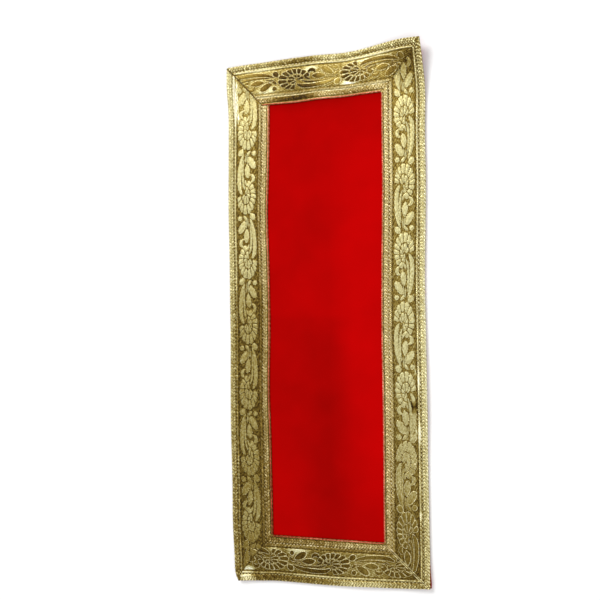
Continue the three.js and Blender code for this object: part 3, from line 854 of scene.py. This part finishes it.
def floats_piece(name, label, rows, tree, material, seed):
    """Rows of floats of some kinds on a strip, as one plain mesh."""
    strip = STRIPS[name]
    inputs = [item for item in tree.interface.items_tree if item.in_out == "INPUT"]
    sockets = {item.name: item.identifier for item in inputs}
    made = []
    for kind, lines, height in rows:
        points, edges, tone_and_painted_light, lean, place = [], [], [], [], []
        for along, across, way in lines:
            first = sum(len(row) for row in points)
            points.append(on_strip(strip, along, across, height))
            tone_and_painted_light.append(tone_and_painted_light_on(name, along, across, kind["part"]) + kind["lighter"])
            lean.append(np.full(len(along), way))
            place.append(np.stack([along, across, np.zeros(len(along))], -1) * MM)
            edges.extend((first + k, first + k + 1) for k in range(len(along) - 1))
        mesh = bpy.data.meshes.new(f"{label}_guide")
        mesh.from_pydata(np.concatenate(points).tolist(), edges, [])
        for attribute, kind_of, field, values in (
            ("tone_and_painted_light", "FLOAT", "value", tone_and_painted_light), ("lean", "FLOAT", "value", lean),
            ("place", "FLOAT_VECTOR", "vector", place),
        ):
            layer = mesh.attributes.new(attribute, kind_of, "POINT")
            layer.data.foreach_set(field, np.concatenate(values).ravel())
        guide = bpy.data.objects.new(f"{label}_guide", mesh)
        bpy.context.scene.collection.objects.link(guide)
        row = guide.modifiers.new("Floats", "NODES")
        row.node_group = tree
        values = {
            "Length": kind["length"] * MM, "Width": kind["width"] * MM, "Height": kind["height"] * MM,
            "Slant": math.radians(kind["slant"]), "Unevenness": kind["uneven"],
            "Alternation": kind["alternate"], "Glint": kind["glint"], "Seed": seed, "Material": material,
        }
        for socket, value in values.items():
            row[sockets[socket]] = value
        seed += 1
        made.append(guide)
    depsgraph = bpy.context.evaluated_depsgraph_get()
    for guide in made:
        mesh = bpy.data.meshes.new_from_object(
            guide.evaluated_get(depsgraph), preserve_all_data_layers=True, depsgraph=depsgraph,
        )
        guide.modifiers.clear()
        guide.data = mesh
    if len(made) > 1:
        with bpy.context.temp_override(active_object=made[0], selected_editable_objects=made):
            bpy.ops.object.join()
    piece = made[0]
    piece.name = piece.data.name = f"ribbon_{name}_{label}"
    return piece


# ---- Materials ----

# The yarn is painted from one tone to the next as its painted light rises. Metallised polyester film yarn
# is a flat, mirror-like gold strip: it gives the eye small hard glints, and these tones paint its light and
# shade, from dull bronze, painted shade where it faces away, to nearly white, a painted highlight where it
# gleams.
YARN_TONES = (
    (0.0, "#2a1c02"), (0.14, "#5f480f"), (0.36, "#94803b"), (0.62, "#d3cd98"), (0.82, "#edebc8"),
    (1.0, "#fffdf0"),
)
# The slanted floats and the cords stand in their own shade, so they are painted a little warmer, as painted
# shade
CORD_TONES = (
    (0.0, "#2a1c02"), (0.14, "#624b12"), (0.36, "#97803a"), (0.62, "#d6ca90"), (0.82, "#f2e7ae"),
    (1.0, "#fff6cc"),
)
# The edge cord beside the velvet is painted rosy, a painted reflection of the velvet's red, so it gives the
# eye a thin rosy line
RED_REFLECTION_TONES = (
    (0.0, "#3a0c06"), (0.14, "#70281a"), (0.36, "#a8482f"), (0.62, "#dc7f60"), (0.82, "#f2a88c"),
    (1.0, "#ffcdb8"),
)
TONE_SCALE = 1 / 1.45
# Between these places across the ribbon its yarn is painted redder towards the velvet beside it, a painted
# reflection of the velvet's red
RED_REFLECTION_SPAN, RED_REFLECTION_TINT = (24.0, 33.0), "#fff7f6"
# Wave bands repeat this often in a unit at scale 1, and waver a little as threads do
WAVE_REPEATS, THREAD_WAVER = 3.18, 0.6
# Uneven patches of the yarn, and single flecks painted lighter as painted glints: how many in a mm, which
# part of the noise they take, and how light a thread's ridge and a fleck are painted beside its depth and
# its mottle; the hollows between the threads are painted darker, as painted shade
PATCHES_PER_MM, FLECKS_PER_MM, PATCH_SPAN, FLECK_SPAN = 0.55, 0.9, (0.3, 0.7), (0.72, 0.95)
RIDGE_SHARE, FLECK_SHARE = 0.6, 1.2
# How much smoother and rougher than the yarn's own roughness its patches are
SMOOTHER, ROUGHER = 0.08, 0.1
# The velvet's strokes and tufts and its back's threads: how many in a mm, and how much they lighten it
STROKES_PER_MM, TUFTS_PER_MM, BACK_THREADS_PER_MM = 0.03, 1.6, 1.6
STROKE_DEPTH, TUFT_DEPTH = 0.16, 0.12
# How deep the weave and the pile are for the light, and how strongly that shows
THREAD_BUMP_MM, PILE_BUMP_MM, BACK_BUMP_MM = 0.12, 0.2, 0.1
THREAD_BUMP, PILE_BUMP, BACK_BUMP = 0.5, 0.35, 0.3


def paint(code):
    """The linear colour of an sRGB hex value."""
    parts = [int(code[k:k + 2], 16) / 255 for k in (1, 3, 5)]
    return (*[c / 12.92 if c <= 0.04045 else ((c + 0.055) / 1.055) ** 2.4 for c in parts], 1.0)


def new_material(name):
    """A material and its tree, which is still empty."""
    material = bpy.data.materials.new(name)
    material.use_nodes = True
    material.node_tree.nodes.clear()
    return material, material.node_tree


def finish_surface(tree, sockets):
    """Ends a material's tree: its shader, with a value or a link for each socket named, and its output."""
    shader = add(tree, "ShaderNodeBsdfPrincipled", sockets)
    add(tree, "ShaderNodeOutputMaterial", {"Surface": shader})


def flat_places(tree, turn=0.0):
    """Places on the flat cloth: metres, then millimetres turned by degrees, and the tone and painted light
    there.
    """
    flat = add(tree, "ShaderNodeUVMap", uv_map="Flat")
    places = add(
        tree, "ShaderNodeMapping",
        {"Vector": flat, "Rotation": (0, 0, math.radians(turn)), "Scale": (1 / MM,) * 3},
    )
    tone_and_painted_light = add(tree, "ShaderNodeAttribute", attribute_name="tone_and_painted_light", attribute_type="GEOMETRY")
    return flat, places, tone_and_painted_light.outputs["Fac"]


def set_tones(ramp, tones):
    """Gives a colour ramp its stops."""
    stops = ramp.color_ramp.elements
    while len(stops) < len(tones):
        stops.new(0.5)
    for stop, (place, code) in zip(stops, tones):
        stop.position, stop.color = place, paint(code)


def brocade(
    name, thread_mm, turn, depth, mottle, roughness, metallic, anisotropy=0.0, tones=YARN_TONES,
    lighter=0.0,
):
    """Woven metal yarn: threads of a width, at a turn from the strip's length, with a depth of tone."""
    material, tree = new_material(name)
    flat, places, tone_and_painted_light = flat_places(tree, turn)
    threads = add(
        tree, "ShaderNodeTexWave",
        {
            "Vector": places, "Scale": 1 / (thread_mm * WAVE_REPEATS), "Distortion": THREAD_WAVER,
            "Detail": 1.0,
        },
        wave_type="BANDS", bands_direction="X",
    ).outputs["Fac"]
    patches = add(tree, "ShaderNodeTexNoise", {"Vector": places, "Scale": PATCHES_PER_MM, "Detail": 3.0})
    # Painted glints: single flecks of the yarn painted lighter
    fleck = add(tree, "ShaderNodeTexVoronoi", {"Vector": places, "Scale": FLECKS_PER_MM}).outputs["Color"]
    glint = add(
        tree, "ShaderNodeMapRange", {"Value": fleck, "From Min": FLECK_SPAN[0], "From Max": FLECK_SPAN[1]},
    )
    sparkle = add(tree, "ShaderNodeMath", {0: glint, 1: mottle * FLECK_SHARE}, operation="MULTIPLY")
    uneven = add(
        tree, "ShaderNodeMapRange",
        {
            "Value": patches.outputs["Fac"], "From Min": PATCH_SPAN[0], "From Max": PATCH_SPAN[1],
            "To Min": lighter - mottle, "To Max": lighter + mottle,
        },
    )
    total = add(
        tree, "ShaderNodeMapRange", {"Value": threads, "To Min": -depth, "To Max": depth * RIDGE_SHARE},
    )
    for part in (uneven, sparkle, tone_and_painted_light):
        total = add(tree, "ShaderNodeMath", {0: total, 1: part}, operation="ADD")
    scaled = add(tree, "ShaderNodeMath", {0: total, 1: TONE_SCALE}, operation="MULTIPLY")
    tone = add(tree, "ShaderNodeValToRGB", {"Fac": scaled})
    set_tones(tone, tones)
    across = add(tree, "ShaderNodeSeparateXYZ", {"Vector": flat}).outputs["Y"]
    # Painted reflection of the velvet's red on the yarn near its inner edge
    near_velvet = add(
        tree, "ShaderNodeMapRange",
        {"Value": across, "From Min": RED_REFLECTION_SPAN[0] * MM, "From Max": RED_REFLECTION_SPAN[1] * MM},
    )
    reddened = add(
        tree, "ShaderNodeMixRGB", {"Fac": near_velvet, "Color1": tone, "Color2": paint(RED_REFLECTION_TINT)},
        blend_type="MULTIPLY",
    )
    bump = add(
        tree, "ShaderNodeBump",
        {"Height": threads, "Strength": THREAD_BUMP, "Distance": THREAD_BUMP_MM * MM},
    )
    rough = add(
        tree, "ShaderNodeMapRange",
        {
            "Value": patches.outputs["Fac"], "To Min": roughness - SMOOTHER, "To Max": roughness + ROUGHER,
        },
    )
    sockets = {"Base Color": reddened, "Normal": bump, "Roughness": rough, "Metallic": metallic}
    if anisotropy:
        sockets["Anisotropic"] = anisotropy
        sockets["Tangent"] = add(tree, "ShaderNodeTangent", direction_type="UV_MAP", uv_map="Flat")
    finish_surface(tree, sockets)
    return material


def velvet():
    """Cotton velvet, woven and cut, its pile dyed scarlet.

    It gives the eye a matt deep red with no gloss, a soft lighter bloom at grazing angles from the ends of
    the pile, random lighter and darker strokes and tufts, and patches of painted light and shade where the
    cloth waves. The tufts are drawn about twice as coarse as the real 0.3 mm, so that they show.
    """
    material, tree = new_material("Cut-pile cotton velvet, scarlet")
    _, places, tone_and_painted_light = flat_places(tree)
    stroked = add(tree, "ShaderNodeTexNoise", {"Vector": places, "Scale": STROKES_PER_MM, "Detail": 2.0})
    tufts = add(tree, "ShaderNodeTexNoise", {"Vector": places, "Scale": TUFTS_PER_MM, "Detail": 3.0})
    large, small = (
        add(tree, "ShaderNodeMapRange", {"Value": noise.outputs["Fac"], "To Min": -depth, "To Max": depth})
        for noise, depth in ((stroked, STROKE_DEPTH), (tufts, TUFT_DEPTH))
    )
    both = add(tree, "ShaderNodeMath", {0: large, 1: small}, operation="ADD")
    # Random strokes and tufts of the pile, and the light and shade painted on the velvet
    velvet_tone_and_painted_light = add(tree, "ShaderNodeMath", {0: both, 1: tone_and_painted_light}, operation="ADD")
    red = add(tree, "ShaderNodeValToRGB", {"Fac": velvet_tone_and_painted_light})
    set_tones(red, ((0.0, "#7e0402"), (1.0, "#d40305")))
    bump = add(
        tree, "ShaderNodeBump",
        {"Height": tufts.outputs["Fac"], "Strength": PILE_BUMP, "Distance": PILE_BUMP_MM * MM},
    )
    finish_surface(tree, {
        "Base Color": red, "Normal": bump, "Roughness": 1.0, "Specular IOR Level": 0.0,
        "Sheen Weight": 0.25, "Sheen Roughness": 0.4, "Sheen Tint": paint("#ff1410"),
    })
    return material


def velvet_back():
    """Cotton back of the velvet, plain woven: it gives the eye a dull red with a fine square weave.

    Its threads are drawn about twice as coarse as the real 0.3 mm, so that they show.
    """
    material, tree = new_material("Plain-woven cotton back of the velvet")
    _, places, _ = flat_places(tree)
    weave = add(
        tree, "ShaderNodeTexChecker",
        {
            "Vector": places, "Scale": BACK_THREADS_PER_MM,
            "Color1": paint("#8c1210"), "Color2": paint("#a32220"),
        },
    )
    bump = add(
        tree, "ShaderNodeBump",
        {"Height": weave.outputs["Fac"], "Strength": BACK_BUMP, "Distance": BACK_BUMP_MM * MM},
    )
    finish_surface(tree, {
        "Base Color": weave, "Normal": bump, "Roughness": 0.95, "Specular IOR Level": 0.1,
    })
    return material


# ---- The camera and the studio ----

# The camera stands a little to the right of the cloth and looks down on it; metres and radians
CAMERA_PLACE = Vector((0.29155, -0.02273, 0.7348))
CAMERA_TURN = Vector((0.0432, 0.4031, -0.0182))
LENS_MM, SENSOR_MM = 60.0, 36.0

lens = bpy.data.cameras.new("camera")
lens.lens, lens.sensor_width = LENS_MM, SENSOR_MM
camera = bpy.data.objects.new("camera", lens)
camera_turn = Matrix.Rotation(CAMERA_TURN.length, 4, CAMERA_TURN.normalized())
camera.matrix_world = Matrix.Translation(CAMERA_PLACE) @ camera_turn
bpy.context.scene.collection.objects.link(camera)
bpy.context.scene.camera = camera


def soft_light(name, place, size, power):
    """A large soft panel light that faces the middle of the cloth."""
    data = bpy.data.lights.new(name, "AREA")
    data.shape, data.size, data.energy = "DISK", size, power
    light = bpy.data.objects.new(name, data)
    light.location = place
    light.rotation_euler = (-Vector(place)).to_track_quat("-Z", "Y").to_euler()
    bpy.context.scene.collection.objects.link(light)


# Places and sizes across in metres, power in watts
soft_light("key", place=(-0.7, 1.1, 1.5), size=1.0, power=21.0)
soft_light("fill", place=(0.7, -1.0, 1.6), size=1.8, power=12.0)

ROOM_WHITE, ROOM_STRENGTH = "#f4f4f4", 0.64
world = bpy.data.worlds.new("studio")
world.use_nodes = True
room_light = world.node_tree.nodes["Background"]
room_light.inputs["Color"].default_value = paint(ROOM_WHITE)
room_light.inputs["Strength"].default_value = ROOM_STRENGTH
bpy.context.scene.world = world
bpy.context.scene.view_settings.view_transform = "Standard"

# Half the floor's side, and how far it is under the cloth so that the two don't flicker; metres
FLOOR_HALF, FLOOR_DROP = 6.0, 0.0002
floor_mesh = bpy.data.meshes.new("floor")
floor_mesh.from_pydata(
    [(x * FLOOR_HALF, y * FLOOR_HALF, -FLOOR_DROP) for x, y in ((-1, -1), (1, -1), (1, 1), (-1, 1))],
    [], [(0, 1, 2, 3)],
)
floor = bpy.data.objects.new("floor", floor_mesh)
bpy.context.scene.collection.objects.link(floor)
# Matt white paint: it gives the eye an even pale ground and a soft shadow, without a reflection
floor_paint, floor_tree = new_material("Matt white painted board")
finish_surface(floor_tree, {
    "Base Color": paint("#fbfbfb"), "Roughness": 0.9, "Specular IOR Level": 0.1,
})
floor_mesh.materials.append(floor_paint)
floor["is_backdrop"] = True

# ---- Putting the cloth together ----

# Film yarn is about 0.3 mm wide. It is drawn coarser, so that it shows: four to six times as wide in the
# ground, the petals and their outlines, and less than twice in the floats and the cords.

# Petals and leaves, floats of yarn laid side by side: smooth, evenly bright faces with a soft sheen
SATIN = brocade(
    "Metallised film yarn, satin floats", thread_mm=1.2, turn=72, depth=0.1, mottle=0.12,
    roughness=0.42, metallic=0.85, anisotropy=0.4,
)
# Outlines of the petals, a couched thread: a thin line painted with glints in places and lost in others
THREAD = brocade(
    "Metallised film yarn, couched outline", thread_mm=1.7, turn=20, depth=0.3, mottle=0.45,
    roughness=0.34, metallic=0.85, tones=CORD_TONES, lighter=-0.1,
)
# The ground between the flowers, yarn woven in lengthwise: a streaked bronze, painted darker or lighter by
# each strip's painted light and shade
GROUND_WEAVE = brocade(
    "Metallised film yarn, lengthwise ground weave", thread_mm=1.3, turn=70, depth=0.18, mottle=0.22,
    roughness=0.45, metallic=0.85, anisotropy=0.4,
)
# The slanted floats of the twill bands: a fine herringbone of pale gold with small shadows between, cast by
# the floats and also painted on the ribbon under them
TWILL_YARN = brocade(
    "Metallised film yarn, twill floats", thread_mm=0.5, turn=0, depth=0.05, mottle=0.2,
    roughness=0.38, metallic=0.8, tones=CORD_TONES, lighter=0.22,
)
# The cords, yarn twisted round a core: round beads of light along a rope
CORD_YARN = brocade(
    "Metallised film yarn, twisted cord", thread_mm=0.5, turn=0, depth=0.05, mottle=0.2,
    roughness=0.36, metallic=0.86, tones=CORD_TONES, lighter=0.27,
)
# The cord along the velvet: a thin line of small beads, painted rosy as a reflection of the velvet's red
RED_REFLECTING_CORD_YARN = brocade(
    "Rose-gold film yarn, inner edge cord", thread_mm=0.5, turn=0, depth=0.05, mottle=0.16,
    roughness=0.38, metallic=0.85, tones=RED_REFLECTION_TONES,
)

panel = velvet_panel(velvet(), velvet_back())
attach(panel, "root")
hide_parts("cloth_panel")

# The floats of each strip: label, rows, yarn, and the seed of their random draws on the first strip
BANDS = (
    ("twill", TWILL_ROWS, TWILL_YARN, 1), ("cords", CORD_ROWS, CORD_YARN, 51),
    ("inner_edge", INNER_EDGE_ROWS, RED_REFLECTING_CORD_YARN, 81),
)
SEEDS_A_STRIP = 100
ELEMENTS = flower_elements()
FLOATS = floats_tree()
for order, (name, strip) in enumerate(STRIPS.items()):
    sheet = ribbon_sheet(name, GROUND_WEAVE)
    woven = [ribbon_flowers(name, ELEMENTS, SATIN, THREAD)]
    for label, rows, yarn, seed in BANDS:
        rows = [(kind, straight_rows(strip, kind, places), height) for kind, places, height in rows]
        if label == "cords" and name in FOLD_ROWS:
            rows.append((FOLD_STITCH, fold_rows(strip, FOLD_ROWS[name]), FOLD_ROW_HEIGHT))
        woven.append(floats_piece(name, label, rows, FLOATS, yarn, SEEDS_A_STRIP * order + seed))
    for piece in (sheet, *woven):
        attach(piece, "root")
    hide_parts(f"ribbon_{name}")

boxes = {"cad": CAD_BOX, "visual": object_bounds()}
{name: [list(corner) for corner in box] for name, box in boxes.items()}
